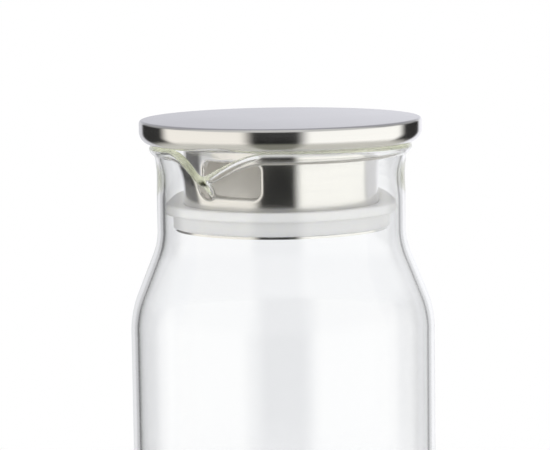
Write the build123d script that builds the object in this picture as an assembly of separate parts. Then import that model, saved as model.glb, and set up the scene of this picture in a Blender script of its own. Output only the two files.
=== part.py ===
from build123d import *
import math
import os

# Glass pitcher with a lift-off steel lid, in millimetres.
# +Z is up, the origin is the middle of the foot, and the pouring spout points along -Y.
# The steel lid drops into the neck: a hollow cap rests on the glass rim, and a drum with a pouring
# window hangs from it, with a soft ring at its lower end that seals against the neck.

# Glass body
GLASS_HEIGHT = 230.8        # table to the top of the rim
NECK_RADIUS = 44.1          # outside of the straight neck
BODY_STEP = 10.0            # how far the body stands out past the neck
WALL = 2.7                  # glass thickness of body, shoulder and neck
BASE_THICKNESS = 5.0        # glass thickness of the bottom
HEEL_RADIUS = 9.0           # rounding between body and foot, outside
INNER_HEEL_RADIUS = 12.0    # the same corner, inside
FOOT_INNER_RADIUS = 30.0    # inner edge of the flat ring that the glass stands on
PUNT_HEIGHT = 2.0           # how far the middle of the bottom is pushed up
NECK_LENGTH = 30.6          # top of the rim down to the start of the shoulder
SHOULDER_LEAN = 22.0        # slope of the shoulder, in degrees from upright
NECK_BEND_RADIUS = 23.0     # hollow bend from neck to shoulder, on the outside surface
SHOULDER_BEND_RADIUS = 37.0  # full bend from shoulder to body, on the outside surface

# Rim and spout
BEAD_RADIUS = 1.65          # round top of the bead along the rim
BEAD_HEIGHT = 3.8           # top of the rim down to the crease under the bead
RIM_WALL = 2.2              # glass thickness at the crease
RIM_FLARE = 1.8             # how far the inside of the rim stands out from the neck's
RIM_TILT = 15.0             # lean of the wall under the bead, in degrees from upright
SPOUT_LENGTH = 18.5         # top of the rim down to where flare and spout begin
SPOUT_REACH = 5.1           # how far the tip is pulled out
SPOUT_DIP = 7.6             # how far the tip is pulled down
SPOUT_TILT = 50.0           # lean of the wall under the tip, in degrees from upright
SPOUT_HALF_ANGLE = 24.0     # half of the spout's width round the neck, in degrees
SPOUT_CREASE = 2.0          # rounding of the bottom of the V, in degrees round the neck
SPOUT_POWER = 2.0           # how the V's arms ease into the rim
SPOUT_SECTIONS = 8          # lofted sections on each side of the tip
SPOUT_CROWDING = 1.3        # above 1 the sections stand closer together near the tip
JOIN_TOLERANCE = 0.01       # the lofted skin and the turned neck meet to within this

# Lid, pressed from one gauge of steel sheet
SHEET = 0.8
CAP_HEIGHT = 9.1
CAP_CROWN = 0.6             # rise of the cap's top in the middle
CAP_OVERHANG = 3.5          # how far the cap stands out past the rim's bead
CAP_EDGE_RADIUS = 1.2       # rounding at the cap's top edge
CAP_ROLL_RADIUS = 4.5       # rolled lower edge of the cap
HEM_REACH = 3.1             # how far the hem runs in past the crest of the rim
PLATE_CLEARANCE = 0.2       # base plate to the inside of the cap's roll
SEAT_GAP = 0.1              # cap to the crest of the rim
WINDOW_WIDTH = 23.0         # pouring window in the drum, straight across
WINDOW_HEIGHT = 12.2
WINDOW_CORNER = 2.4
WINDOW_DROP = 4.6           # cap's underside to the top of the window
COLLAR_DEPTH = 2.6          # how far the window's edge is turned in
COLLAR_ROUNDING = 1.4       # rounding of the turned edge
FLANGE_REACH = 3.3          # foot flange of the drum, which carries the seal

# Seal ring
LIP_CLEARANCE = 0.15        # lip to the glass
LIP_REACH = 2.85            # how far the lip stands out past the band
LIP_HEIGHT = 3.7            # height of the lip at its edge
LIP_UPSTAND = 0.7           # edge of the lip above the level top beside the drum
LIP_ROUNDING = 0.8          # rounding of the lip's edge
LAND_WIDTH = 1.4            # level top of the ring beside the drum
LIP_RISE_IN_NECK = 10.3     # top of the lip above the start of the shoulder
BAND_HEIGHT = 5.1
BAND_THICKNESS = 3.85
BAND_ROUNDING = 0.4         # rounding of the band's lower outer edge
BORE_CLEARANCE = 0.05       # ring to the drum, running fit
SEAL_SIT = 0.05             # ring to the drum's foot flange

# Places worked out from the sizes above
NECK_BORE = NECK_RADIUS - WALL
BODY_RADIUS = NECK_RADIUS + BODY_STEP
SHOULDER_TOP = GLASS_HEIGHT - NECK_LENGTH
SPOUT_ROOT = GLASS_HEIGHT - SPOUT_LENGTH
BEAD_CENTRE = (NECK_BORE + RIM_FLARE + BEAD_RADIUS, GLASS_HEIGHT - BEAD_RADIUS)
CAP_BOTTOM = GLASS_HEIGHT + SEAT_GAP
CAP_TOP = CAP_BOTTOM + CAP_HEIGHT
CAP_RADIUS = BEAD_CENTRE[0] + BEAD_RADIUS + CAP_OVERHANG
PLATE_BOTTOM = CAP_BOTTOM + SHEET
LIP_RADIUS = NECK_BORE - LIP_CLEARANCE
BAND_RADIUS = LIP_RADIUS - LIP_REACH
DRUM_RADIUS = BAND_RADIUS - BAND_THICKNESS - BORE_CLEARANCE
LIP_TOP = SHOULDER_TOP + LIP_RISE_IN_NECK
LAND_TOP = LIP_TOP - LIP_UPSTAND
BAND_TOP = LIP_TOP - LIP_HEIGHT
BAND_BOTTOM = BAND_TOP - BAND_HEIGHT
DRUM_BOTTOM = BAND_BOTTOM - SEAL_SIT - SHEET


def upright(radius_height_outline):
    """The face inside an outline drawn in radius and height, stood up in the XZ plane."""
    return Plane.XZ * make_face(radius_height_outline)


def turned(radius_height_outline):
    """A ring or round piece turned about Z from an outline drawn in radius and height."""
    return revolve(upright(radius_height_outline), Axis.Z)


# Glass

def shoulder(inset):
    """Neck bend, slope and shoulder bend, on the surface that lies inset below the outer one."""
    lean = math.radians(SHOULDER_LEAN)
    both_bends = NECK_BEND_RADIUS + SHOULDER_BEND_RADIUS
    slope = (BODY_STEP - both_bends * (1 - math.cos(lean))) / math.sin(lean)
    neck = Vector(NECK_RADIUS - inset, SHOULDER_TOP)
    down = Vector(math.sin(lean), -math.cos(lean))
    neck_bend = NECK_BEND_RADIUS + inset
    body_bend = SHOULDER_BEND_RADIUS - inset
    slope_top = neck + neck_bend * Vector(1 - math.cos(lean), -math.sin(lean))
    slope_foot = slope_top + slope * down
    body = slope_foot + body_bend * Vector(1 - math.cos(lean), -math.sin(lean))
    upper = TangentArc(neck, slope_top, tangent=(0, -1))
    lower = TangentArc(body, slope_foot, tangent=(0, 1))
    return upper + Line(slope_top, slope_foot) + lower, body.Y


def glass_below_spout():
    """Foot, body, shoulder and straight neck, up to where the spout begins."""
    inner_radius = BODY_RADIUS - WALL
    outer_shoulder, outer_foot = shoulder(0)
    inner_shoulder, inner_foot = shoulder(WALL)
    outline = TangentArc((0, PUNT_HEIGHT), (FOOT_INNER_RADIUS, 0), tangent=(1, 0))
    outline += Line((FOOT_INNER_RADIUS, 0), (BODY_RADIUS - HEEL_RADIUS, 0))
    outline += TangentArc((BODY_RADIUS - HEEL_RADIUS, 0), (BODY_RADIUS, HEEL_RADIUS), tangent=(1, 0))
    outline += Line((BODY_RADIUS, HEEL_RADIUS), (BODY_RADIUS, outer_foot))
    outline += outer_shoulder
    outline += Line((NECK_RADIUS, SHOULDER_TOP), (NECK_RADIUS, SPOUT_ROOT))
    outline += Line((NECK_RADIUS, SPOUT_ROOT), (NECK_BORE, SPOUT_ROOT))
    outline += Line((NECK_BORE, SPOUT_ROOT), (NECK_BORE, SHOULDER_TOP))
    outline += inner_shoulder
    corner_top = BASE_THICKNESS + INNER_HEEL_RADIUS
    floor_edge = inner_radius - INNER_HEEL_RADIUS
    outline += Line((inner_radius, inner_foot), (inner_radius, corner_top))
    outline += TangentArc((floor_edge, BASE_THICKNESS), (inner_radius, corner_top), tangent=(1, 0))
    outline += Line((floor_edge, BASE_THICKNESS), (FOOT_INNER_RADIUS, BASE_THICKNESS))
    crown = (0, BASE_THICKNESS + PUNT_HEIGHT)
    outline += TangentArc(crown, (FOOT_INNER_RADIUS, BASE_THICKNESS), tangent=(1, 0))
    outline += Line(crown, (0, PUNT_HEIGHT))
    return turned(outline)


def spout_share(angle):
    """How much of the spout's pull a place has: 1 at the tip, 0 on the plain rim. Degrees from the tip."""
    rounded = math.hypot(angle, SPOUT_CREASE) - SPOUT_CREASE
    return max(0.0, 1 - rounded / SPOUT_HALF_ANGLE) ** SPOUT_POWER


def rim_section(angle):
    """Slice through wall and bead at an angle from the tip, from the spout's root up to the rim."""
    share = spout_share(angle)
    tilt = math.radians(RIM_TILT + (SPOUT_TILT - RIM_TILT) * share)
    along = Vector(math.sin(tilt), math.cos(tilt))
    across = Vector(math.cos(tilt), -math.sin(tilt))
    centre = Vector(BEAD_CENTRE[0] + SPOUT_REACH * share, BEAD_CENTRE[1] - SPOUT_DIP * share)

    inner_end = centre - BEAD_RADIUS * across
    outer_end = centre + BEAD_RADIUS * across
    top = centre + BEAD_RADIUS * along
    crease = inner_end + RIM_WALL * across - (BEAD_HEIGHT - BEAD_RADIUS) * along

    def round_over(start, end):
        middle = (start + end) / 2 - centre
        return ThreePointArc(start, centre + BEAD_RADIUS * middle.normalized(), end)

    section = Line((NECK_BORE, SPOUT_ROOT), (NECK_RADIUS, SPOUT_ROOT))
    section += Spline((NECK_RADIUS, SPOUT_ROOT), crease, tangents=[(0, 1), along])
    section += TangentArc(outer_end, crease, tangent=-along)
    section += round_over(outer_end, top)
    section += round_over(top, inner_end)
    section += Spline((NECK_BORE, SPOUT_ROOT), inner_end, tangents=[(0, 1), along])
    turn = math.radians(angle - 90)
    radial = Vector(math.cos(turn), math.sin(turn), 0)
    slice_plane = Plane((0, 0, 0), x_dir=radial, z_dir=radial.cross(Vector(0, 0, 1)))
    return slice_plane * make_face(section)


def glass_pitcher():
    """The blown glass in one piece, with its beaded rim and pulled spout."""
    spout_end = math.sqrt((SPOUT_HALF_ANGLE + SPOUT_CREASE) ** 2 - SPOUT_CREASE**2)
    right = [spout_end * (step / SPOUT_SECTIONS) ** SPOUT_CROWDING for step in range(SPOUT_SECTIONS + 1)]
    angles = [-angle for angle in reversed(right[1:])] + right
    spout = loft([rim_section(angle) for angle in angles])
    rim = revolve(rim_section(spout_end), Axis.Z, 360 - 2 * spout_end)
    return glass_below_spout().fuse(rim, spout, tol=JOIN_TOLERANCE)


# Lid

def cap_side(inset):
    """Top, edge, side and roll of the cap, on the surface that lies inset inside the outer one."""
    side = CAP_RADIUS - inset
    edge_start = (CAP_RADIUS - CAP_EDGE_RADIUS, CAP_TOP - CAP_CROWN - inset)
    edge_end = (side, CAP_TOP - CAP_CROWN - CAP_EDGE_RADIUS)
    roll_start = (side, CAP_BOTTOM + CAP_ROLL_RADIUS)
    roll_end = (CAP_RADIUS - CAP_ROLL_RADIUS, CAP_BOTTOM + inset)
    outline = TangentArc((0, CAP_TOP - inset), edge_start, tangent=(1, 0))
    outline += TangentArc(edge_end, edge_start, tangent=(0, 1))
    outline += Line(edge_end, roll_start)
    outline += TangentArc(roll_start, roll_end, tangent=(0, -1))
    return outline


def lid_cap():
    """Hollow cap: crowned top, upright side, rolled lower edge and a hem under the base plate."""
    hem_edge = BEAD_CENTRE[0] - HEM_REACH
    roll_foot = CAP_RADIUS - CAP_ROLL_RADIUS
    outline = cap_side(0) + cap_side(SHEET)
    outline += Line((0, CAP_TOP), (0, CAP_TOP - SHEET))
    outline += Line((roll_foot, CAP_BOTTOM), (hem_edge, CAP_BOTTOM))
    outline += Line((hem_edge, CAP_BOTTOM), (hem_edge, PLATE_BOTTOM))
    outline += Line((hem_edge, PLATE_BOTTOM), (roll_foot, PLATE_BOTTOM))
    return turned(outline)


def lid_base_plate():
    """Flat plate that closes the cap, held by the hem, with the drum welded under it."""
    radius = CAP_RADIUS - CAP_ROLL_RADIUS - PLATE_CLEARANCE
    return Pos(0, 0, PLATE_BOTTOM) * extrude(Circle(radius), SHEET)


def on_window_edge(edge, window_middle):
    """True for the edges where the pouring window breaks through the outside of the drum."""
    middle = edge @ 0.5
    outside = abs(math.hypot(middle.X, middle.Y) - DRUM_RADIUS) < SHEET / 4
    beside = abs(middle.X) < WINDOW_WIDTH / 2 + SHEET / 4
    level = abs(middle.Z - window_middle) < WINDOW_HEIGHT / 2 + SHEET / 4
    return outside and beside and level and middle.Y < 0


def lid_drum():
    """Open tube with the pouring window in front and a flange round its foot."""
    bore = DRUM_RADIUS - SHEET
    flange = DRUM_RADIUS + FLANGE_REACH
    outline = Polyline(
        (bore, PLATE_BOTTOM),
        (DRUM_RADIUS, PLATE_BOTTOM),
        (DRUM_RADIUS, DRUM_BOTTOM + SHEET),
        (flange, DRUM_BOTTOM + SHEET),
        (flange, DRUM_BOTTOM),
        (bore, DRUM_BOTTOM),
        close=True,
    )
    drum = turned(outline)
    window_middle = CAP_BOTTOM - WINDOW_DROP - WINDOW_HEIGHT / 2
    front = Plane.XZ * Pos(0, window_middle)
    window = RectangleRounded(WINDOW_WIDTH, WINDOW_HEIGHT, WINDOW_CORNER)
    collar = RectangleRounded(WINDOW_WIDTH + 2 * SHEET, WINDOW_HEIGHT + 2 * SHEET, WINDOW_CORNER + SHEET)
    ring = Cylinder(DRUM_RADIUS, 2 * DRUM_RADIUS) - Cylinder(DRUM_RADIUS - COLLAR_DEPTH, 2 * DRUM_RADIUS)
    drum += extrude(front * collar, 2 * DRUM_RADIUS) & Pos(0, 0, window_middle) * ring
    drum -= extrude(front * window, 2 * DRUM_RADIUS)
    turned_edge = drum.edges().filter_by(lambda edge: on_window_edge(edge, window_middle))
    return fillet(turned_edge, COLLAR_ROUNDING)


# Seal

def seal_ring():
    """Soft ring on the drum's foot: a band, and over it a lip that reaches out to the glass."""
    bore = DRUM_RADIUS + BORE_CLEARANCE
    band_foot = (BAND_RADIUS, BAND_BOTTOM)
    outline = Polyline(
        (bore, BAND_BOTTOM),
        band_foot,
        (BAND_RADIUS, BAND_TOP),
        (LIP_RADIUS, BAND_TOP),
        (LIP_RADIUS, LIP_TOP),
        (bore + LAND_WIDTH, LAND_TOP),
        (bore, LAND_TOP),
        close=True,
    )
    section = make_face(outline)
    section = fillet(section.vertices().sort_by(Axis.X)[-2:], LIP_ROUNDING)
    section = fillet(section.vertices().sort_by_distance(band_foot)[0], BAND_ROUNDING)
    return revolve(Plane.XZ * section, Axis.Z)


PIECES = {
    "glass_pitcher": glass_pitcher,
    "lid_cap": lid_cap,
    "lid_base_plate": lid_base_plate,
    "lid_drum": lid_drum,
    "seal_ring": seal_ring,
}

os.makedirs("parts", exist_ok=True)
for name, make in PIECES.items():
    export_step(make(), f"parts/{name}.step")
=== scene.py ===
import math

import bmesh
import bpy
from mathutils import Matrix, Vector


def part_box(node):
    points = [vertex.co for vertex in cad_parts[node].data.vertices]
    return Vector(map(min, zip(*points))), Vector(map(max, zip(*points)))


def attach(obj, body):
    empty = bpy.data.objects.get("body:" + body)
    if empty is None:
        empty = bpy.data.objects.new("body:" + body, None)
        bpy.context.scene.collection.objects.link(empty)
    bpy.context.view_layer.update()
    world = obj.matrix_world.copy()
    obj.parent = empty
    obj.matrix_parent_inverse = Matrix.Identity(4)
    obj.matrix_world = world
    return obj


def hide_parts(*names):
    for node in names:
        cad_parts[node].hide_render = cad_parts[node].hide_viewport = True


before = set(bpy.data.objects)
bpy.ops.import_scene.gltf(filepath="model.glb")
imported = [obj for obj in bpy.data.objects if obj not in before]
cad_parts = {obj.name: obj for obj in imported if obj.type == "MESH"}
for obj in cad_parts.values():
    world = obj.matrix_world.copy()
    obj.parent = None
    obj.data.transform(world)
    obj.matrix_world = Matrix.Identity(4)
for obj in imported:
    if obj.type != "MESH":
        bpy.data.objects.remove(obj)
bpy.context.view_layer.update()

bl_info = {
    "name": "Glass pitcher with steel lid",
    "version": (1, 0, 0),
    "blender": (4, 5, 0),
    "location": "3D View > Sidebar > Pitcher",
    "description": "Models a blown glass pitcher and its lift-off steel lid around their fixed frame",
    "category": "Object",
}

# The frame's own corners, which the sizes below start from
GLASS_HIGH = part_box("glass_pitcher")[1]
CAP_LOW, CAP_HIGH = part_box("lid_cap")
PLATE_LOW, PLATE_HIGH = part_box("lid_base_plate")
DRUM_LOW, DRUM_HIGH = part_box("lid_drum")
SEAL_LOW, SEAL_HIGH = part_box("seal_ring")

UP = Vector((0, 0, 1))

# Mesh density
ROUND_STEPS = 240           # columns round a spun piece
GLASS_STEPS = 360           # columns round the glass
SPOUT_CROWDING = 0.7        # how strongly the glass's columns crowd towards the spout, under 1
CROWN_STEPS = 24            # steps from the middle of a crowned disc to its edge
BEND_STEPS = 16             # steps along a wide bend
ARC_STEPS = 10              # steps along a rounded edge
SMALL_STEPS = 4             # steps along a small rounding
LONG_SIDE_STEPS = 160       # columns along the window's top or bottom edge, spread all round the drum
SHORT_SIDE_STEPS = 28       # columns along one of the window's upright edges
DRUM_RINGS = 56             # rings from the window out to the drum's edges
RING_CROWDING = 1.25        # above 1 the rings stand closer together near the window
FLOOR_STEPS = 96            # corners of the floor
MERGE_DISTANCE = 1e-6
SHARP_ANGLE = math.radians(38)


# Settings that a user would change

def length(name, description, default):
    """A size in metres."""
    return bpy.props.FloatProperty(
        name=name, description=description, default=default, unit="LENGTH", precision=5
    )


def angle(name, description, degrees):
    """An angle, given here in degrees."""
    return bpy.props.FloatProperty(
        name=name, description=description, default=math.radians(degrees), subtype="ANGLE"
    )


def colour(name, description, default):
    """A linear colour of three parts."""
    return bpy.props.FloatVectorProperty(
        name=name, description=description, default=default, subtype="COLOR", size=3, min=0, soft_max=1
    )


class PitcherGlassSizes(bpy.types.PropertyGroup):
    """Sizes of the blown glass."""

    height: length("Height", "Table to the top of the rim", GLASS_HIGH.z)
    body_radius: length("Body radius", "Outside of the body", GLASS_HIGH.y)
    body_step: length("Body step", "How far the body stands out past the neck", 0.01)
    wall: length("Wall", "Glass thickness of body, shoulder and neck", 0.0027)
    base: length("Base", "Glass thickness of the bottom", 0.005)
    heel: length("Heel", "Rounding between body and foot, outside", 0.009)
    inner_heel: length("Inner heel", "Rounding between body and bottom, inside", 0.012)
    foot: length("Foot", "Inner radius of the flat ring that the glass stands on", 0.03)
    punt: length("Punt", "How far the middle of the bottom is pushed up", 0.002)
    neck_length: length("Neck length", "Top of the rim down to the shoulder", 0.0306)
    shoulder_lean: angle("Shoulder lean", "Slope of the shoulder from upright", 22)
    neck_bend: length("Neck bend", "Hollow bend from neck to shoulder", 0.023)
    shoulder_bend: length("Shoulder bend", "Full bend from shoulder to body", 0.037)
    bead_radius: length("Bead radius", "Round top of the bead along the rim", 0.00165)
    bead_height: length("Bead height", "Top of the rim down to the crease", 0.0038)
    rim_wall: length("Rim wall", "Glass thickness at the crease", 0.0022)
    rim_flare: length("Rim flare", "How far the inside of the rim stands out", 0.0018)
    rim_tilt: angle("Rim tilt", "Lean of the wall under the bead", 15)
    spout_length: length("Spout length", "Top of the rim down to the spout's root", 0.0185)
    spout_reach: length("Spout reach", "How far the tip is pulled out", 0.0051)
    spout_dip: length("Spout dip", "How far the tip is pulled down", 0.0076)
    spout_tilt: angle("Spout tilt", "Lean of the wall under the tip", 50)
    spout_half_angle: angle("Spout half angle", "Half of the spout's width round the neck", 24)
    spout_crease: angle("Spout crease", "Rounding of the bottom of the V round the neck", 2)
    spout_power: bpy.props.FloatProperty(
        name="Spout power", description="How gently the V's arms ease into the rim", default=2.0, min=1.0
    )


class PitcherLidSizes(bpy.types.PropertyGroup):
    """Sizes of the steel lid."""

    cap_radius: length("Cap radius", "Outside of the cap", CAP_HIGH.x)
    cap_top: length("Cap top", "Height of the crown of the cap", CAP_HIGH.z)
    cap_bottom: length("Cap bottom", "Height of the hem under the cap", CAP_LOW.z)
    sheet: length("Sheet", "Gauge of the steel", 0.0008)
    crown: length("Crown", "Rise of the cap's top in the middle", 0.0006)
    edge: length("Edge", "Rounding at the cap's top edge", 0.0012)
    roll: length("Roll", "Rolled lower edge of the cap", 0.0045)
    hem_radius: length("Hem radius", "Inner edge of the hem", 0.04175)
    plate_radius: length("Plate radius", "Outside of the base plate", PLATE_HIGH.x)
    plate_bottom: length("Plate bottom", "Height of the base plate's underside", PLATE_LOW.z)
    plate_top: length("Plate top", "Height of the base plate's upper side", PLATE_HIGH.z)
    drum_radius: length("Drum radius", "Outside of the drum", 0.0345)
    drum_bottom: length("Drum bottom", "Height of the drum's foot", DRUM_LOW.z)
    flange_radius: length("Flange radius", "Outside of the drum's foot flange", DRUM_HIGH.x)
    window_width: length("Window width", "Pouring window, straight across", 0.023)
    window_height: length("Window height", "Pouring window, top to bottom", 0.0122)
    window_corner: length("Window corner", "Rounding of the window's corners", 0.0024)
    window_drop: length("Window drop", "Cap's underside to the top of the window", 0.0046)
    collar_depth: length("Collar depth", "How far the window's edge is turned in", 0.0026)
    collar_rounding: length("Collar rounding", "Rounding of the turned edge", 0.0014)
    soft_edge: length("Soft edge", "Rounding of the cut edges of the sheet", 0.0002)


class PitcherSealSizes(bpy.types.PropertyGroup):
    """Sizes of the soft ring on the drum's foot."""

    lip_radius: length("Lip radius", "Outside of the lip", SEAL_HIGH.x)
    bottom: length("Bottom", "Height of the underside of the band", SEAL_LOW.z)
    bore: length("Bore", "Inside of the ring", 0.03455)
    land: length("Land", "Level top of the ring beside the drum", 0.0014)
    lip_reach: length("Lip reach", "How far the lip stands out past the band", 0.00285)
    lip_height: length("Lip height", "Height of the lip at its edge", 0.0037)
    lip_upstand: length("Lip upstand", "Edge of the lip above the level top beside the drum", 0.0007)
    lip_rounding: length("Lip rounding", "Rounding of the lip's edge", 0.0008)
    band_height: length("Band height", "Height of the band under the lip", 0.0051)
    band_rounding: length("Band rounding", "Rounding of the band's lower outer edge", 0.0004)
    soft_edge: length("Soft edge", "Rounding of the other moulded edges", 0.0003)


class PitcherFinishes(bpy.types.PropertyGroup):
    """Colours of the pieces and of the floor, with painted shade for the glass's edges and for the floor
    that steel mirrors.
    """

    glass: colour("Glass", "Glass seen face on", (0.995, 0.998, 0.995))
    # Painted shade: glass seen edge on takes this darker colour, for the dark lines along the glass's edges
    painted_edge_shade: colour("Glass edge", "Glass seen edge on", (0.84, 0.87, 0.78))
    glass_depth: colour("Glass depth", "What thick glass lets through", (0.88, 0.91, 0.6))
    steel: colour("Steel", "Bare steel", (0.74, 0.733, 0.722))
    satin: colour("Satin steel", "Brushed top of the cap", (0.74, 0.74, 0.775))
    dull: colour("Dull steel", "Inside of the lid", (0.83, 0.805, 0.76))
    silicone: colour("Silicone", "Frosted ring", (0.95, 0.95, 0.945))
    floor: colour("Floor", "Pale floor", (0.83, 0.83, 0.835))
    # Painted shade: the floor as the lid mirrors it, darker than the floor itself
    painted_floor_shade: colour("Mirrored floor", "Pale floor as the lid mirrors it", (0.66, 0.65, 0.6))
    # Painted shadow: the floor before the pitcher as the lid mirrors it
    painted_front_shadow: colour("Shaded floor", "Floor before the pitcher as the lid mirrors it", (0.24, 0.24, 0.2))


class PitcherStudio(bpy.types.PropertyGroup):
    """Camera, floor and lamp."""

    camera_turn: angle("Camera turn", "Camera's place round the pitcher from the spout", 32.0)
    camera_distance: length("Camera distance", "Camera to the pitcher's axis", 0.85)
    camera_height: length("Camera height", "Camera above the table", 0.306)
    camera_tilt: angle("Camera tilt", "How far the camera looks down", 7.03)
    camera_pan: angle("Camera pan", "How far the camera looks left of the axis", 0.16)
    camera_roll: angle("Camera roll", "How far the camera leans to its right", 0.8)
    lens: bpy.props.FloatProperty(
        name="Lens", description="Focal length in millimetres", default=157.7, unit="CAMERA"
    )
    floor_radius: length("Floor radius", "Edge of the floor, which has faded out by then", 0.62)
    lamp_size: length("Lamp size", "Overhead lamp, straight across", 0.9)
    lamp_height: length("Lamp height", "Overhead lamp above the table", 1.3)
    lamp_power: bpy.props.FloatProperty(
        name="Lamp power", description="Power of the overhead lamp", default=6.0, unit="POWER"
    )


# Outlines in radius and height

def tangent_arc(start, direction, end, steps):
    """Points of the arc from start to end that leaves start along direction, without start itself."""
    start = Vector(start)
    chord = Vector(end) - start
    along = Vector(direction).normalized()
    side = Vector((-along.y, along.x))
    turn = 2 * math.atan2(chord.dot(side), chord.dot(along))
    if abs(turn) < MERGE_DISTANCE:
        return [Vector(end)]
    radius = chord.length / (2 * math.sin(turn / 2))
    points = []
    for step in range(1, steps + 1):
        part = turn * step / steps
        points.append(start + radius * (math.sin(part) * along + (1 - math.cos(part)) * side))
    return points


def eased_curve(start, start_direction, end, end_direction, steps):
    """Points of the cubic from start to end with those end directions, without start itself."""
    start = Vector(start)
    end = Vector(end)
    reach = (end - start).length
    leave = reach * Vector(start_direction).normalized()
    arrive = reach * Vector(end_direction).normalized()
    points = []
    for step in range(1, steps + 1):
        t = step / steps
        points.append(
            (2 * t**3 - 3 * t**2 + 1) * start
            + (t**3 - 2 * t**2 + t) * leave
            + (3 * t**2 - 2 * t**3) * end
            + (t**3 - t**2) * arrive
        )
    return points


def softened(corners, rounding, closed):
    """An outline of straight runs with rounded corners. A corner may hold its own rounding third."""
    count = len(corners)
    points = []
    for index, corner in enumerate(corners):
        here = Vector(corner[:2])
        if not closed and index in (0, count - 1):
            points.append(here)
            continue
        radius = corner[2] if len(corner) > 2 else rounding
        before = (here - Vector(corners[index - 1][:2])).normalized()
        after = (Vector(corners[(index + 1) % count][:2]) - here).normalized()
        cut = radius * math.tan(before.angle(after) / 2)
        first = here - cut * before
        points.append(first)
        points.extend(tangent_arc(first, before, here + cut * after, SMALL_STEPS))
    return points


# Mesh helpers

def place_at(turn, radius, height):
    """A place by its turn about Z from the spout, its radius and its height."""
    return Vector((radius * math.sin(turn), -radius * math.cos(turn), height))


def closed_up(mesh):
    """Merges a mesh's seam and poles and points its faces outwards."""
    bmesh.ops.remove_doubles(mesh, verts=mesh.verts, dist=MERGE_DISTANCE)
    bmesh.ops.recalc_face_normals(mesh, faces=mesh.faces)
    return mesh


def spun(points):
    """A mesh spun about Z from one outline in radius and height."""
    mesh = bmesh.new()
    verts = [mesh.verts.new((radius, 0, height)) for radius, height in points]
    edges = [mesh.edges.new(pair) for pair in zip(verts, verts[1:])]
    bmesh.ops.spin(
        mesh, geom=verts + edges, cent=(0, 0, 0), axis=UP, angle=math.tau, steps=ROUND_STEPS, use_merge=True
    )
    return closed_up(mesh)


def turned(columns):
    """A mesh from outlines round Z, each with its turn. The last one lies on the first."""
    mesh = bmesh.new()
    rows = len(columns[0][1])
    grid = bmesh.ops.create_grid(mesh, x_segments=rows - 1, y_segments=len(columns) - 1, size=1)
    places = [place_at(turn, *point) for turn, points in columns for point in points]
    move_verts(grid["verts"], places)
    return closed_up(mesh)


def move_verts(verts, places):
    """Moves vertices to places, one each."""
    for vert, place in zip(verts, places):
        vert.co = place


def new_verts(made):
    """The vertices among what an operator made."""
    return [item for item in made["geom"] if isinstance(item, bmesh.types.BMVert)]


def finished(name, mesh, materials):
    """Makes an object at the origin from a mesh, smooth but for its sharp edges."""
    for face in mesh.faces:
        face.smooth = True
    data = bpy.data.meshes.new(name)
    mesh.to_mesh(data)
    mesh.free()
    data.set_sharp_from_angle(angle=SHARP_ANGLE)
    for material in materials:
        data.materials.append(material)
    piece = bpy.data.objects.new(name, data)
    bpy.context.scene.collection.objects.link(piece)
    return piece


def seated(piece, body, node):
    """Lets a piece stand for a node of the frame and move with its body."""
    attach(piece, body)
    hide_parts(node)


# Shader maths

class Value:
    """A shader output that takes part in Python sums: each operation adds a Math node."""

    def __init__(self, wiring, socket):
        self.wiring = wiring
        self.socket = socket

    def others(self, *names):
        """Other outputs of the same node."""
        return [Value(self.wiring, self.socket.node.outputs[name]) for name in names]

    def __add__(self, other):
        return self.wiring.maths("ADD", self, other)

    def __radd__(self, other):
        return self.wiring.maths("ADD", other, self)

    def __rsub__(self, other):
        return self.wiring.maths("SUBTRACT", other, self)

    def __mul__(self, other):
        return self.wiring.maths("MULTIPLY", self, other)

    def __rmul__(self, other):
        return self.wiring.maths("MULTIPLY", other, self)

    def __abs__(self):
        return self.wiring.maths("ABSOLUTE", self)


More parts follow.
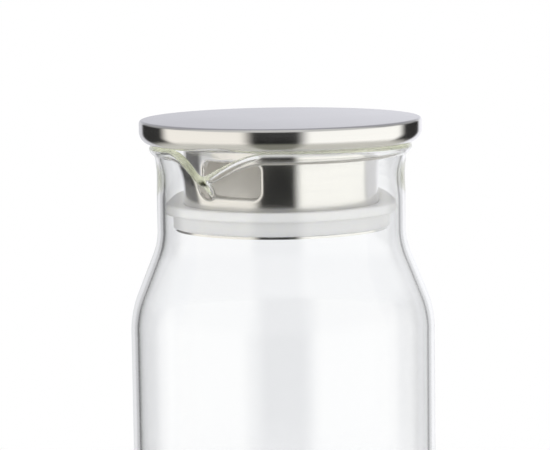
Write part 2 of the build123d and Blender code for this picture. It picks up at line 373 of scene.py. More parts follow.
class Wiring:
    """The node tree of a material or of the world."""

    def __init__(self, owner):
        owner.use_nodes = True
        self.tree = owner.node_tree
        self.tree.nodes.clear()

    def node(self, kind, settings=None, sockets=None, output=0):
        """Adds a node: its settings first, then a value or a link for each socket. Returns one output."""
        made = self.tree.nodes.new(kind)
        for name, setting in (settings or {}).items():
            setattr(made, name, setting)
        for key, value in (sockets or {}).items():
            socket = made.inputs[key]
            if isinstance(value, Value):
                self.tree.links.new(value.socket, socket)
            else:
                socket.default_value = value
        return Value(self, made.outputs[output]) if made.outputs else None

    def maths(self, operation, *values):
        """One Math node."""
        return self.node("ShaderNodeMath", {"operation": operation}, dict(enumerate(values)))

    def flag(self, count):
        """0 for a count of none, and 1 for any other."""
        return self.maths("MINIMUM", count, 1.0)

    def between(self, value, low, high):
        """0 below low, 1 above high, with an eased step between."""
        return self.node(
            "ShaderNodeMapRange",
            {"interpolation_type": "SMOOTHSTEP"},
            {"Value": value, "From Min": low, "From Max": high},
        )

    def past(self, value, edge, softness):
        """0 before an edge and 1 past it, eased over its softness on both sides."""
        return self.between(value, edge - softness, edge + softness)

    def coordinates(self, stretch=(1, 1, 1), turn=0.0):
        """Object coordinates, turned about Z and then stretched."""
        place = self.node("ShaderNodeTexCoord", output="Object")
        level = self.node("ShaderNodeMapping", {}, {"Vector": place, "Rotation": (0, 0, turn)})
        return self.node("ShaderNodeMapping", {}, {"Vector": level, "Scale": stretch})

    def noise(self, vector, scale=1.0, detail=2.0):
        """Cloudy noise from 0 to 1."""
        return self.node("ShaderNodeTexNoise", {}, {"Vector": vector, "Scale": scale, "Detail": detail})

    def mixed(self, share, first, second):
        """A colour from first to second."""
        return self.node(
            "ShaderNodeMix",
            {"data_type": "RGBA"},
            {0: share, 6: as_colour(first), 7: as_colour(second)},
            output=2,
        )

    def shaded(self, share, tone, darkest, lightest):
        """A colour whose brightness goes from darkest to lightest times its own."""
        return self.mixed(share, [darkest * part for part in tone], [lightest * part for part in tone])

    def bump(self, height, strength, distance):
        """A normal from a height."""
        sockets = {"Height": height, "Strength": strength, "Distance": distance}
        return self.node("ShaderNodeBump", {}, sockets)

    def principled(self, sockets):
        """The shader of a plain surface."""
        return self.node("ShaderNodeBsdfPrincipled", {}, sockets)

    def surface(self, shader, volume=None):
        """Ends the tree of a material."""
        sockets = {"Surface": shader}
        if volume:
            sockets["Volume"] = volume
        self.node("ShaderNodeOutputMaterial", {}, sockets)


def as_colour(value):
    """A link as it is, or a colour with its alpha."""
    return value if isinstance(value, Value) else (*value, 1.0)


# Finishes

GLASS_IOR = 1.5
GLASS_DENSITY = 1.5         # how fast thick glass takes up light, per metre
SMEAR_ROUGHNESS = 0.03
SILICONE_IOR = 1.41
SILICONE_DEPTH = 0.004      # how far light spreads inside the ring
LIP_LIGHT_BLEND = 0.0004          # half the height over which the band's colour turns into the lip's painted light


def clear_glass(finishes):
    """Blown glass with faint ripples and smears, painted shade that darkens it seen edge on, and green where
    it is thick.
    """
    material = bpy.data.materials.new("clear_glass")
    wiring = Wiring(material)
    ripple = wiring.noise(wiring.coordinates(stretch=(1, 1, 0.35)), scale=38.0)
    smear = wiring.noise(wiring.coordinates(stretch=(1, 1, 0.5)), scale=90.0, detail=5.0)
    facing = wiring.node("ShaderNodeLayerWeight", {}, {"Blend": 0.5}, "Facing")
    # Painted shade: the colour darkens from the face-on colour towards the edges as seen
    edge_shade_share = wiring.between(facing, low=0.75, high=1.0)
    shader = wiring.principled(
        {
            "Base Color": wiring.mixed(edge_shade_share, finishes.glass, finishes.painted_edge_shade),
            "Roughness": wiring.between(smear, low=0.62, high=0.85) * SMEAR_ROUGHNESS,
            "IOR": GLASS_IOR,
            "Transmission Weight": 1.0,
            "Normal": wiring.bump(ripple, strength=0.03, distance=0.0004),
        }
    )
    taken_up = {"Color": as_colour(finishes.glass_depth), "Density": GLASS_DENSITY}
    wiring.surface(shader, wiring.node("ShaderNodeVolumeAbsorption", {}, taken_up))
    return material


def satin_steel(finishes, turn):
    """Straight brushed steel: long fine lines across the view, with a little cloudiness."""
    material = bpy.data.materials.new("satin_steel")
    wiring = Wiring(material)
    fine = wiring.noise(wiring.coordinates(stretch=(30, 2600, 30), turn=turn), detail=3.0)
    broad = wiring.noise(wiring.coordinates(stretch=(9, 320, 9), turn=turn))
    cloud = wiring.noise(wiring.coordinates(), scale=28.0, detail=3.0)
    lines = fine * 0.6 + broad * 0.4
    shader = wiring.principled(
        {
            "Base Color": wiring.shaded(lines, finishes.satin, darkest=0.93, lightest=1.05),
            "Metallic": 1.0,
            "Roughness": 0.16 + 0.05 * lines + 0.04 * cloud,
            "Normal": wiring.bump(lines, strength=0.08, distance=0.0001),
        }
    )
    wiring.surface(shader)
    return material


def polished_steel(finishes):
    """Steel polished on a lathe: very fine level lines round the piece, and faint wipe marks."""
    material = bpy.data.materials.new("polished_steel")
    wiring = Wiring(material)
    fine = wiring.noise(wiring.coordinates(stretch=(22, 22, 5200)))
    broad = wiring.noise(wiring.coordinates(stretch=(14, 14, 900)))
    wiped = wiring.noise(wiring.coordinates(), scale=60.0, detail=4.0)
    lines = fine * 0.5 + broad * 0.5
    shader = wiring.principled(
        {
            "Base Color": wiring.shaded(lines, finishes.steel, darkest=0.95, lightest=1.04),
            "Metallic": 1.0,
            "Roughness": 0.12 + 0.06 * lines + 0.03 * wiped,
            "Anisotropic": 0.85,
            "Anisotropic Rotation": 0.25,
            "Normal": wiring.bump(lines, strength=0.05, distance=0.00005),
        }
    )
    wiring.surface(shader)
    return material


def dull_steel(finishes):
    """Steel left as it was drawn, on the inside of the lid: cloudy, with faint upright draw marks."""
    material = bpy.data.materials.new("dull_steel")
    wiring = Wiring(material)
    drawn = wiring.noise(wiring.coordinates(stretch=(900, 900, 12)))
    cloud = wiring.noise(wiring.coordinates(), scale=45.0, detail=3.0)
    shader = wiring.principled(
        {
            "Base Color": wiring.shaded(cloud, finishes.dull, darkest=0.95, lightest=1.03),
            "Metallic": 0.35,
            "Roughness": 0.4 + 0.08 * drawn + 0.08 * cloud,
            "Normal": wiring.bump(drawn, strength=0.06, distance=0.00005),
        }
    )
    wiring.surface(shader)
    return material


def frosted_silicone(finishes, lip_foot):
    """Frosted silicone with a fine grain, white and cloudy because light spreads inside it, with painted
    light that makes the lip whiter than the band.
    """
    material = bpy.data.materials.new("frosted_silicone")
    wiring = Wiring(material)
    grain = wiring.noise(wiring.coordinates(), scale=2600.0)
    cloud = wiring.noise(wiring.coordinates(), scale=70.0, detail=3.0)
    height = wiring.node("ShaderNodeSeparateXYZ", {}, {0: wiring.coordinates()}, "Z")
    # Painted light: the colour is whiter above the lip's foot, for light through the thin lip, and darker on
    # the band below; a fifth of the share is random cloud
    lip_light_and_cloud = wiring.past(height, lip_foot, LIP_LIGHT_BLEND) * 0.8 + cloud * 0.2
    shader = wiring.principled(
        {
            "Base Color": wiring.shaded(lip_light_and_cloud, finishes.silicone, darkest=0.93, lightest=1.0),
            "Roughness": 0.32 + 0.12 * cloud,
            "IOR": SILICONE_IOR,
            "Subsurface Weight": 0.85,
            "Subsurface Radius": (1.0, 1.0, 0.9),
            "Subsurface Scale": SILICONE_DEPTH,
            "Normal": wiring.bump(grain, strength=0.1, distance=0.00005),
        }
    )
    wiring.surface(shader)
    return material


# Glass

def shoulder_outline(sizes, inset):
    """Points from the foot of the shoulder up to the neck, inset from the outer surface."""
    lean = sizes.shoulder_lean
    both_bends = sizes.neck_bend + sizes.shoulder_bend
    slope = (sizes.body_step - both_bends * (1 - math.cos(lean))) / math.sin(lean)
    neck = Vector((sizes.body_radius - sizes.body_step - inset, sizes.height - sizes.neck_length))
    bend = Vector((1 - math.cos(lean), -math.sin(lean)))
    uphill = Vector((-math.sin(lean), math.cos(lean)))
    slope_top = neck + (sizes.neck_bend + inset) * bend
    slope_foot = slope_top - slope * uphill
    foot = slope_foot + (sizes.shoulder_bend - inset) * bend
    points = [foot]
    points.extend(tangent_arc(foot, (0, 1), slope_foot, BEND_STEPS))
    points.append(slope_top)
    points.extend(tangent_arc(slope_top, uphill, neck, BEND_STEPS))
    return points


def spout_share(sizes, turn):
    """How much of the spout's pull a place has: 1 at the tip, 0 on the plain rim."""
    rounded = math.hypot(turn, sizes.spout_crease) - sizes.spout_crease
    return max(0.0, 1 - rounded / sizes.spout_half_angle) ** sizes.spout_power


def rim_outline(sizes, share):
    """Points up the outside of the rim, over its bead and down its inside, from root to root."""
    neck = sizes.body_radius - sizes.body_step
    bore = neck - sizes.wall
    root = sizes.height - sizes.spout_length
    bead = sizes.bead_radius
    tilt = sizes.rim_tilt + (sizes.spout_tilt - sizes.rim_tilt) * share
    along = Vector((math.sin(tilt), math.cos(tilt)))
    across = Vector((math.cos(tilt), -math.sin(tilt)))
    centre = Vector((bore + sizes.rim_flare + bead, sizes.height - bead))
    centre += share * Vector((sizes.spout_reach, -sizes.spout_dip))
    inner_end = centre - bead * across
    outer_end = centre + bead * across
    top = centre + bead * along
    crease = inner_end + sizes.rim_wall * across - (sizes.bead_height - bead) * along
    flank = tangent_arc(outer_end, -along, crease, SMALL_STEPS)
    points = [Vector((neck, root))]
    points.extend(eased_curve((neck, root), (0, 1), crease, along, BEND_STEPS))
    points.extend(reversed(flank[:-1]))
    points.append(outer_end)
    points.extend(tangent_arc(outer_end, along, top, ARC_STEPS))
    points.extend(tangent_arc(top, -across, inner_end, ARC_STEPS))
    points.extend(eased_curve(inner_end, -along, (bore, root), (0, -1), BEND_STEPS))
    return points


def outside_below_rim(sizes):
    """Points from the middle of the underside up to the neck."""
    body = sizes.body_radius
    points = [Vector((0, sizes.punt))]
    points.extend(tangent_arc((0, sizes.punt), (1, 0), (sizes.foot, 0), CROWN_STEPS))
    points.append(Vector((body - sizes.heel, 0)))
    points.extend(tangent_arc((body - sizes.heel, 0), (1, 0), (body, sizes.heel), BEND_STEPS))
    points.extend(shoulder_outline(sizes, 0))
    return points


def inside_below_rim(sizes):
    """Points from the neck down to the middle of the bottom inside."""
    bore = sizes.body_radius - sizes.wall
    corner = Vector((bore, sizes.base + sizes.inner_heel))
    crown = Vector((0, sizes.base + sizes.punt))
    points = list(reversed(shoulder_outline(sizes, sizes.wall)))
    points.append(corner)
    points.extend(tangent_arc(corner, (0, -1), (bore - sizes.inner_heel, sizes.base), BEND_STEPS))
    points.extend(reversed(tangent_arc(crown, (1, 0), (sizes.foot, sizes.base), CROWN_STEPS)))
    points.append(crown)
    return points


def glass_columns(sizes):
    """Outlines of the glass all the way round, crowded towards the spout."""
    outside = outside_below_rim(sizes)
    inside = inside_below_rim(sizes)
    columns = []
    for step in range(GLASS_STEPS + 1):
        turn = math.tau * step / GLASS_STEPS - math.pi
        turn -= SPOUT_CROWDING * math.sin(turn)
        rim = rim_outline(sizes, spout_share(sizes, turn))
        columns.append((turn, outside + rim + inside))
    return columns


class PITCHER_OT_glass(bpy.types.Operator):
    """Turn the blown glass and pull its pouring spout"""

    bl_idname = "pitcher.glass"
    bl_label = "Blown glass"

    def execute(self, context):
        mesh = turned(glass_columns(context.scene.pitcher_glass))
        piece = finished("blown_glass", mesh, [clear_glass(context.scene.pitcher_finishes)])
        seated(piece, "pitcher", "glass_pitcher")
        return {"FINISHED"}


# Cap and base plate

def cap_face(sizes, inset):
    """Points from the middle of the cap's top to the foot of its roll, inset from the outer surface."""
    side = sizes.cap_radius - inset
    edge_height = sizes.cap_top - sizes.crown
    middle = Vector((0, sizes.cap_top - inset))
    edge_start = Vector((sizes.cap_radius - sizes.edge, edge_height - inset))
    edge_end = Vector((side, edge_height - sizes.edge))
    roll_start = Vector((side, sizes.cap_bottom + sizes.roll))
    roll_end = Vector((sizes.cap_radius - sizes.roll, sizes.cap_bottom + inset))
    points = [middle]
    points.extend(tangent_arc(middle, (1, 0), edge_start, CROWN_STEPS))
    points.extend(tangent_arc(edge_start, (1, 0), edge_end, ARC_STEPS))
    points.append(roll_start)
    points.extend(tangent_arc(roll_start, (0, -1), roll_end, BEND_STEPS))
    return points


def hem_edge(sizes):
    """Points round the free edge of the hem, from its underside to its upper side."""
    hem_top = sizes.cap_bottom + sizes.sheet
    roll_foot = sizes.cap_radius - sizes.roll
    corners = [
        (roll_foot, sizes.cap_bottom),
        (sizes.hem_radius, sizes.cap_bottom),
        (sizes.hem_radius, hem_top),
        (roll_foot, hem_top),
    ]
    return softened(corners, sizes.soft_edge, closed=False)[1:-1]


class PITCHER_OT_cap(bpy.types.Operator):
    """Turn the hollow cap with its crowned top, rolled edge and hem"""

    bl_idname = "pitcher.cap"
    bl_label = "Cap"

    def execute(self, context):
        sizes = context.scene.pitcher_lid
        finishes = context.scene.pitcher_finishes
        inner_face = cap_face(sizes, sizes.sheet)
        mesh = spun(cap_face(sizes, 0) + hem_edge(sizes) + list(reversed(inner_face)))
        polished, satin = 0, 1
        satin_foot = sizes.cap_top - sizes.crown - sizes.edge / 4
        for face in mesh.faces:
            on_top = face.calc_center_median().z > satin_foot and face.normal.z > 0
            face.material_index = satin if on_top else polished
        turn = -context.scene.pitcher_studio.camera_turn
        piece = finished("cap_shell", mesh, [polished_steel(finishes), satin_steel(finishes, turn)])
        seated(piece, "lid", "lid_cap")
        return {"FINISHED"}


class PITCHER_OT_base_plate(bpy.types.Operator):
    """Turn the flat plate that closes the cap"""

    bl_idname = "pitcher.base_plate"
    bl_label = "Base plate"

    def execute(self, context):
        sizes = context.scene.pitcher_lid
        corners = [
            (0, sizes.plate_bottom),
            (sizes.plate_radius, sizes.plate_bottom),
            (sizes.plate_radius, sizes.plate_top),
            (0, sizes.plate_top),
        ]
        mesh = spun(softened(corners, sizes.soft_edge, closed=False))
        piece = finished("base_plate", mesh, [dull_steel(context.scene.pitcher_finishes)])
        seated(piece, "lid", "lid_base_plate")
        return {"FINISHED"}


# Drum

def side_steps():
    """Each side of a rectangle by number, the upright right one first, with its steps."""
    return enumerate((SHORT_SIDE_STEPS, LONG_SIDE_STEPS) * 2)


def rounded_rectangle(half_width, half_height, corner):
    """Points round a rectangle, anticlockwise from its lower right corner, a side at a time."""
    quarter = corner * math.pi / 4
    points = []
    for side, steps in side_steps():
        upright = side % 2 == 0
        away = half_width if upright else half_height
        reach = (half_height if upright else half_width) - corner
        total = 2 * (reach + quarter)
        turn = Matrix.Rotation(side * math.pi / 2, 2)
        for step in range(steps):
            run = total * step / steps - reach - quarter
            bend = max(0.0, abs(run) - reach) / corner
            across = math.copysign(min(abs(run), reach) + corner * math.sin(bend), run)
            out = away - corner * (1 - math.cos(bend))
            points.append(turn @ Vector((out, across)))
    return points


def unrolled_drum(low, high):
    """Turns and heights round the unrolled drum, anticlockwise from its lower right corner."""
    corners = [(math.pi, low), (math.pi, high), (-math.pi, high), (-math.pi, low)]
    points = []
    for side, steps in side_steps():
        start = Vector(corners[side])
        run = Vector(corners[(side + 1) % 4]) - start
        points.extend(start + run * step / steps for step in range(steps))
    return points


def next_ring(mesh, ring):
    """Extrudes a closed ring of vertices and returns the new ring in the same order."""
    edges = []
    for index, vert in enumerate(ring):
        edges.append(mesh.edges.get((vert, ring[(index + 1) % len(ring)])))
    fresh = set(new_verts(bmesh.ops.extrude_edge_only(mesh, edges=edges)))
    following = []
    for vert in ring:
        linked = {edge.other_vert(vert) for edge in vert.link_edges}
        following.extend(linked & fresh)
    return following


def window_ring(sizes, offset, depth):
    """Places round the window, offset from its edge, at a depth under the drum's outer face."""
    flat = rounded_rectangle(
        sizes.window_width / 2 + offset, sizes.window_height / 2 + offset, sizes.window_corner + offset
    )
    middle = sizes.cap_bottom - sizes.window_drop - sizes.window_height / 2
    radius = sizes.drum_radius - depth
    return [Vector((p.x, -math.sqrt(radius**2 - p.x**2), middle + p.y)) for p in flat]


def spread_foot(mesh, height, spread):
    """Extrudes the lowest edges, which lie at a height, into a level flange."""
    foot = []
    for edge in mesh.edges:
        if all(vert.co.z < height + MERGE_DISTANCE for vert in edge.verts):
            foot.append(edge)
    rim = new_verts(bmesh.ops.extrude_edge_only(mesh, edges=foot))
    bmesh.ops.scale(mesh, verts=rim, vec=(spread, spread, 1))


def drum_sheet(sizes):
    """The outer face of the drum: turned-in window edge, wall and foot flange."""
    radius = sizes.drum_radius
    wall_low = sizes.drum_bottom + sizes.sheet
    mesh = bmesh.new()
    count = 2 * (SHORT_SIDE_STEPS + LONG_SIDE_STEPS)
    ring = bmesh.ops.create_circle(mesh, segments=count, radius=radius)["verts"]
    move_verts(ring, window_ring(sizes, 0, sizes.collar_depth))
    for step in range(ARC_STEPS + 1):
        bend = math.pi / 2 * step / ARC_STEPS
        offset = sizes.collar_rounding * (1 - math.cos(bend))
        depth = sizes.collar_rounding * (1 - math.sin(bend))
        ring = next_ring(mesh, ring)
        move_verts(ring, window_ring(sizes, offset, depth))
    near = [Vector((math.asin(vert.co.x / radius), vert.co.z)) for vert in ring]
    far = unrolled_drum(wall_low, sizes.plate_bottom)
    for step in range(1, DRUM_RINGS + 1):
        share = (step / DRUM_RINGS) ** RING_CROWDING
        ring = next_ring(mesh, ring)
        flat = [start.lerp(end, share) for start, end in zip(near, far)]
        move_verts(ring, [place_at(turn, radius, height) for turn, height in flat])
    bmesh.ops.remove_doubles(mesh, verts=mesh.verts, dist=MERGE_DISTANCE)
    spread_foot(mesh, wall_low, sizes.flange_radius / radius)
    bmesh.ops.recalc_face_normals(mesh, faces=mesh.faces)
    return mesh


class PITCHER_OT_drum(bpy.types.Operator):
    """Model the drum with its pouring window and foot flange"""

    bl_idname = "pitcher.drum"
    bl_label = "Drum"

    def execute(self, context):
        sizes = context.scene.pitcher_lid
        finishes = context.scene.pitcher_finishes
        mesh = drum_sheet(sizes)
        # The outer face points outwards before it gets its thickness
        outwards = sum(face.normal.dot(face.calc_center_median()) * face.calc_area() for face in mesh.faces)
        if outwards < 0:
            bmesh.ops.reverse_faces(mesh, faces=mesh.faces)
        bmesh.ops.solidify(mesh, geom=mesh.faces, thickness=sizes.sheet)
        polished, dull = 0, 1
        mid_sheet = sizes.drum_radius - sizes.sheet / 2
        for face in mesh.faces:
            place = face.calc_center_median()
            inside = place.xy.length < mid_sheet and face.normal.dot(place) < 0
            face.material_index = dull if inside else polished
        piece = finished("drum_shell", mesh, [polished_steel(finishes), dull_steel(finishes)])
        seated(piece, "lid", "lid_drum")
        return {"FINISHED"}


# Seal

def seal_outline(sizes):
    """Points round the ring's section: a band, and over it a lip that reaches out to the glass."""
    band_radius = sizes.lip_radius - sizes.lip_reach
    band_top = sizes.bottom + sizes.band_height
    lip_top = band_top + sizes.lip_height
    land_top = lip_top - sizes.lip_upstand
    corners = [
        (sizes.bore, sizes.bottom),
        (band_radius, sizes.bottom, sizes.band_rounding),
        (band_radius, band_top),
        (sizes.lip_radius, band_top, sizes.lip_rounding),
        (sizes.lip_radius, lip_top, sizes.lip_rounding),
        (sizes.bore + sizes.land, land_top),
        (sizes.bore, land_top),
    ]
    points = softened(corners, sizes.soft_edge, closed=True)
    return points + points[:1]


class PITCHER_OT_seal(bpy.types.Operator):
    """Turn the frosted ring that seals the neck"""

    bl_idname = "pitcher.seal"
    bl_label = "Seal ring"

    def execute(self, context):
        sizes = context.scene.pitcher_seal
        silicone = frosted_silicone(context.scene.pitcher_finishes, sizes.bottom + sizes.band_height)
        piece = finished("silicone_seal", spun(seal_outline(sizes)), [silicone])
        seated(piece, "seal", "seal_ring")
        return {"FINISHED"}


# Stage

FLOOR_DROP = 0.0003                     # floor below the foot, so that the two faces don't share a plane
FLOOR_FADE_START = 0.45                 # shares of the floor's radius between which it fades out
FLOOR_FADE_END = 0.98
LIGHT_BOUNCES = 160                     # light runs a long way inside the rim before it leaves

# Turns about Z from the front, which is the main view's side, to the right above 0
FRONT_LEFT = math.radians(-27)          # dark gap that the camera stands in
FRONT_RIGHT = math.radians(18.5)
LEFT_BOX_EDGE = math.radians(-109)      # outer edges of the softboxes on both sides
RIGHT_BOX_EDGE = math.radians(116)
EDGE_SOFTNESS = math.radians(7)
BACK_EDGE = math.radians(151)           # edges of the pale backdrop, on both sides
BACK_SOFTNESS = math.radians(4)
LINE_SIDE_EDGE = math.radians(144.5)    # near edge of the dark line that the glass wall shows on the right
LINE_BACK_EDGE = math.radians(149.5)    # far edge of the dark lines on both sides
LINE_SOFTNESS = math.radians(2.5)
SIDEWAYS = math.radians(88.2)           # past this, light from inside the wall wasn't mirrored by steel

# Parts of a direction, as sines
CEILING_EDGE = 0.2                      # how high a direction points where the ceiling begins
CEILING_SOFTNESS = 0.17
BACKDROP_SOFTNESS = 0.15                # how far to each side the backdrop brightens from left to right

# Light from each side, as steel mirrors it
FRONT_DARK_COLOUR = (0.01, 0.01, 0.009)
SIDE_DARK_COLOUR = (0.03, 0.029, 0.028)
LIT_GAP_COLOUR = (0.8, 0.8, 0.83)       # right gap as the drum mirrors it through the glass
LEFT_BOX_COLOUR = (1.18, 1.14, 1.06)
RIGHT_BOX_COLOUR = (1.32, 1.31, 1.26)
BACKDROP_LEFT = (0.72, 0.72, 0.76)
BACKDROP_RIGHT = (1.0, 1.0, 1.05)
FRONT_CEILING_COLOUR = (0.7, 0.7, 0.69)
REAR_CEILING_COLOUR = (0.42, 0.42, 0.43)

# Light from each side, as the glass lets it through
THROUGH_GLASS_COLOUR = (0.94, 0.945, 0.97)
LEFT_BAND_COLOUR = (0.72, 0.72, 0.74)   # outer band of the wall, beside its dark line
LEFT_LINE_COLOUR = (0.15, 0.15, 0.155)
RIGHT_LINE_COLOUR = (0.35, 0.35, 0.36)

# Light from all sides
DIFFUSE_COLOUR = (0.8, 0.8, 0.8)
INTO_GLASS_COLOUR = (1.65, 1.65, 1.65)  # makes up for what the glass keeps from the pieces inside it
WHITE = (1.0, 1.0, 1.0)

# Limits on counts of what light meets, each halfway to the next count
MOST_WALL_CROSSINGS = 3.5               # light that crosses more surfaces went through both walls
MOST_STEEL_REFLECTIONS = 1.5            # light that is turned back more often ran along inside the wall


def from_front(wiring, way, studio):
    """A place or a direction seen from the front: how far right, its turn about Z and how high."""
    level = wiring.node(
        "ShaderNodeVectorRotate", {"rotation_type": "Z_AXIS"}, {"Vector": way, "Angle": -studio.camera_turn}
    )
    right = wiring.node("ShaderNodeSeparateXYZ", {}, {0: level}, "X")
    back, height = right.others("Y", "Z")
    return right, wiring.maths("ARCTAN2", right, 0 - back), height


def between_turns(wiring, turn, low, high):
    """1 between two turns and 0 outside them, with soft edges."""
    return wiring.past(turn, low, EDGE_SOFTNESS) * (1 - wiring.past(turn, high, EDGE_SOFTNESS))


def pale_floor(finishes, studio):
    """Pale matt floor that fades out before its edge. Polished steel mirrors it with painted shade, darker
    than it looks, and with a painted shadow before the pitcher.
    """
    material = bpy.data.materials.new("pale_floor")
    wiring = Wiring(material)
    place = wiring.coordinates()
    cloud = wiring.noise(place, scale=9.0, detail=3.0)
    turn = from_front(wiring, place, studio)[1]
    # Painted shadow before the pitcher, only in what steel mirrors
    front_shadow_share = between_turns(wiring, turn, FRONT_LEFT, FRONT_RIGHT)
    mirrored = wiring.mixed(front_shadow_share, finishes.painted_floor_shade, finishes.painted_front_shadow)
    path = wiring.node("ShaderNodeLightPath")
    reflections, crossings = path.others("Glossy Depth", "Transmission Depth")
    off_steel = wiring.flag(reflections) * (1 - wiring.flag(crossings))
    plain = wiring.shaded(cloud, finishes.floor, darkest=0.98, lightest=1.02)
    # Painted shade: light from steel sees the floor's painted colours, other light sees the plain floor
    tone = wiring.mixed(off_steel, plain, mirrored)
    matt = wiring.principled({"Base Color": tone, "Roughness": 1.0, "Specular IOR Level": 0.0})
    nothing = wiring.node("ShaderNodeBsdfTransparent")
    away = wiring.node("ShaderNodeVectorMath", {"operation": "LENGTH"}, {0: place}, "Value")
    radius = studio.floor_radius
    faded = wiring.between(away, FLOOR_FADE_START * radius, FLOOR_FADE_END * radius)
    wiring.surface(wiring.node("ShaderNodeMixShader", {}, {0: faded, 1: matt, 2: nothing}))
    return material


class Directions:
    """Where light comes from, seen from the front. Each share is 1 in its own part and 0 elsewhere."""

    def __init__(self, wiring, studio):
        way = wiring.node("ShaderNodeTexCoord", output="Generated")
        self.right, self.turn, height = from_front(wiring, way, studio)
        self.on_right = wiring.between(self.turn, 0.0, EDGE_SOFTNESS)
        self.beside = between_turns(wiring, self.turn, LEFT_BOX_EDGE, RIGHT_BOX_EDGE)
        self.above = wiring.past(height, CEILING_EDGE, CEILING_SOFTNESS)


def mirrored_studio(wiring, where, crossed):
    """What steel mirrors: softboxes on both sides, dark gaps beside them, the backdrop and the ceiling."""
    left_box = between_turns(wiring, where.turn, LEFT_BOX_EDGE, FRONT_LEFT)
    right_box = between_turns(wiring, where.turn, FRONT_RIGHT, RIGHT_BOX_EDGE)
    behind = wiring.past(abs(where.turn), BACK_EDGE, BACK_SOFTNESS)
    rear = wiring.past(abs(where.turn), math.pi / 2, EDGE_SOFTNESS)
    side_gap = wiring.mixed(where.on_right * crossed, SIDE_DARK_COLOUR, LIT_GAP_COLOUR)
    backdrop = wiring.mixed(wiring.past(where.right, 0.0, BACKDROP_SOFTNESS), BACKDROP_LEFT, BACKDROP_RIGHT)
    ceiling = wiring.mixed(rear, FRONT_CEILING_COLOUR, REAR_CEILING_COLOUR)
    seen = wiring.mixed(where.beside, side_gap, FRONT_DARK_COLOUR)
    seen = wiring.mixed(left_box, seen, LEFT_BOX_COLOUR)
    seen = wiring.mixed(right_box, seen, RIGHT_BOX_COLOUR)
    seen = wiring.mixed(behind, seen, backdrop)
    return wiring.mixed(where.above * (1 - crossed), seen, ceiling)


def through_glass(wiring, where, reflected):
    """What glass lets through: pale all round, with dark lines by way of light turned back in its wall."""
    near_back = wiring.past(abs(where.turn), LINE_BACK_EDGE, LINE_SOFTNESS)
    past_side = wiring.past(where.turn, LINE_SIDE_EDGE, LINE_SOFTNESS)
    on_left = 1 - where.on_right
    left_band = wiring.between(where.turn, -math.pi, -LINE_BACK_EDGE) * near_back * on_left
    line = ((1 - where.beside) * on_left + past_side) * (1 - near_back) * (1 - where.above)
    line_colour = wiring.mixed(where.on_right, LEFT_LINE_COLOUR, RIGHT_LINE_COLOUR)
    seen = wiring.mixed(left_band * reflected, THROUGH_GLASS_COLOUR, LEFT_BAND_COLOUR)
    return wiring.mixed(line * reflected, seen, line_colour)


def studio_world(studio):
    """White behind the object for the camera, and a studio for light that meets the object on its way."""
    world = bpy.data.worlds.new("studio")
    bpy.context.scene.world = world
    wiring = Wiring(world)
    where = Directions(wiring, studio)
    from_camera = wiring.node("ShaderNodeLightPath", output="Is Camera Ray")
    reflections, crossings = from_camera.others("Glossy Depth", "Transmission Depth")
    from_matt, spreadings = from_camera.others("Is Diffuse Ray", "Diffuse Depth")
    reflected = wiring.flag(reflections)
    crossed = wiring.flag(crossings)
    one_wall = crossed * wiring.maths("LESS_THAN", crossings, MOST_WALL_CROSSINGS)
    bent_away = wiring.maths("GREATER_THAN", abs(where.turn), SIDEWAYS)
    guided = wiring.maths("GREATER_THAN", reflections, MOST_STEEL_REFLECTIONS)
    in_wall = one_wall * wiring.maths("MAXIMUM", bent_away, guided)
    through = through_glass(wiring, where, reflected)
    mirrored = mirrored_studio(wiring, where, crossed)
    seen = wiring.mixed(reflected * (1 - in_wall), through, mirrored)
    seen = wiring.mixed(wiring.flag(spreadings), seen, INTO_GLASS_COLOUR)
    seen = wiring.mixed(from_matt, seen, DIFFUSE_COLOUR)
    seen = wiring.mixed(from_camera, seen, WHITE)
    background = wiring.node("ShaderNodeBackground", {}, {"Color": seen})
    wiring.node("ShaderNodeOutputWorld", {}, {"Surface": background})


def add_floor(finishes, studio):
    """A disc of floor just under the foot."""
    mesh = bmesh.new()
    bmesh.ops.create_circle(mesh, cap_ends=True, segments=FLOOR_STEPS, radius=studio.floor_radius)
    bmesh.ops.translate(mesh, verts=mesh.verts, vec=-FLOOR_DROP * UP)
    finished("floor", mesh, [pale_floor(finishes, studio)])


def add_lamp(studio):
    """A round softbox overhead, which neither the camera nor the steel sees."""
    lamp = bpy.data.lights.new("overhead_softbox", "AREA")
    lamp.shape = "DISK"
    lamp.size = studio.lamp_size
    lamp.energy = studio.lamp_power
    overhead = bpy.data.objects.new("overhead_softbox", lamp)
    overhead.location = studio.lamp_height * UP
    overhead.visible_camera = False
    overhead.visible_glossy = False
    bpy.context.scene.collection.objects.link(overhead)


def add_camera(studio):
    """The camera, with the scene's view through it."""
    scene = bpy.context.scene
    camera = bpy.data.objects.new("camera", bpy.data.cameras.new("camera"))
    camera.data.lens = studio.lens
    camera.location = place_at(studio.camera_turn, studio.camera_distance, studio.camera_height)
    aim = Matrix.Rotation(studio.camera_turn + studio.camera_pan, 3, "Z")
    aim @= Matrix.Rotation(math.pi / 2 - studio.camera_tilt, 3, "X")
    aim @= Matrix.Rotation(-studio.camera_roll, 3, "Z")
    camera.rotation_euler = aim.to_euler()
    scene.collection.objects.link(camera)
    scene.camera = camera
    scene.view_settings.view_transform = "Standard"
    scene.cycles.max_bounces = LIGHT_BOUNCES
    scene.cycles.transmission_bounces = LIGHT_BOUNCES
    scene.cycles.glossy_bounces = LIGHT_BOUNCES


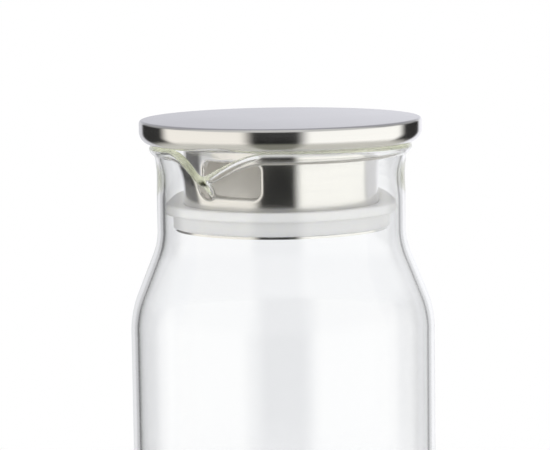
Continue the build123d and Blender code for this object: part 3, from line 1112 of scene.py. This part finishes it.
class PITCHER_OT_stage(bpy.types.Operator):
    """Set the pale floor, the soft light and the camera"""

    bl_idname = "pitcher.stage"
    bl_label = "Stage"

    def execute(self, context):
        studio = context.scene.pitcher_studio
        add_floor(context.scene.pitcher_finishes, studio)
        studio_world(studio)
        add_lamp(studio)
        add_camera(studio)
        return {"FINISHED"}


class PITCHER_PT_sidebar(bpy.types.Panel):
    """The pitcher's settings and pieces"""

    bl_label = "Pitcher"
    bl_space_type = "VIEW_3D"
    bl_region_type = "UI"
    bl_category = "Pitcher"

    def draw(self, context):
        for group in GROUPS:
            settings = getattr(context.scene, group)
            box = self.layout.box()
            box.label(text=settings.bl_rna.name)
            for name in settings.bl_rna.properties.keys():
                if name not in ("rna_type", "name"):
                    box.prop(settings, name)
        for operator in OPERATORS:
            self.layout.operator(operator.bl_idname)


GROUPS = {
    "pitcher_glass": PitcherGlassSizes,
    "pitcher_lid": PitcherLidSizes,
    "pitcher_seal": PitcherSealSizes,
    "pitcher_finishes": PitcherFinishes,
    "pitcher_studio": PitcherStudio,
}
OPERATORS = (
    PITCHER_OT_glass,
    PITCHER_OT_cap,
    PITCHER_OT_base_plate,
    PITCHER_OT_drum,
    PITCHER_OT_seal,
    PITCHER_OT_stage,
)


def register():
    """Adds the settings, the operators and the panel to Blender."""
    for name, group in GROUPS.items():
        bpy.utils.register_class(group)
        setattr(bpy.types.Scene, name, bpy.props.PointerProperty(type=group))
    for operator in OPERATORS:
        bpy.utils.register_class(operator)
    bpy.utils.register_class(PITCHER_PT_sidebar)


def unregister():
    """Takes them out again."""
    bpy.utils.unregister_class(PITCHER_PT_sidebar)
    for operator in reversed(OPERATORS):
        bpy.utils.unregister_class(operator)
    for name, group in reversed(GROUPS.items()):
        delattr(bpy.types.Scene, name)
        bpy.utils.unregister_class(group)


def main():
    """Makes every piece and the stage."""
    register()
    bpy.ops.pitcher.glass()
    bpy.ops.pitcher.cap()
    bpy.ops.pitcher.base_plate()
    bpy.ops.pitcher.drum()
    bpy.ops.pitcher.seal()
    bpy.ops.pitcher.stage()


if __name__ == "__main__":
    main()
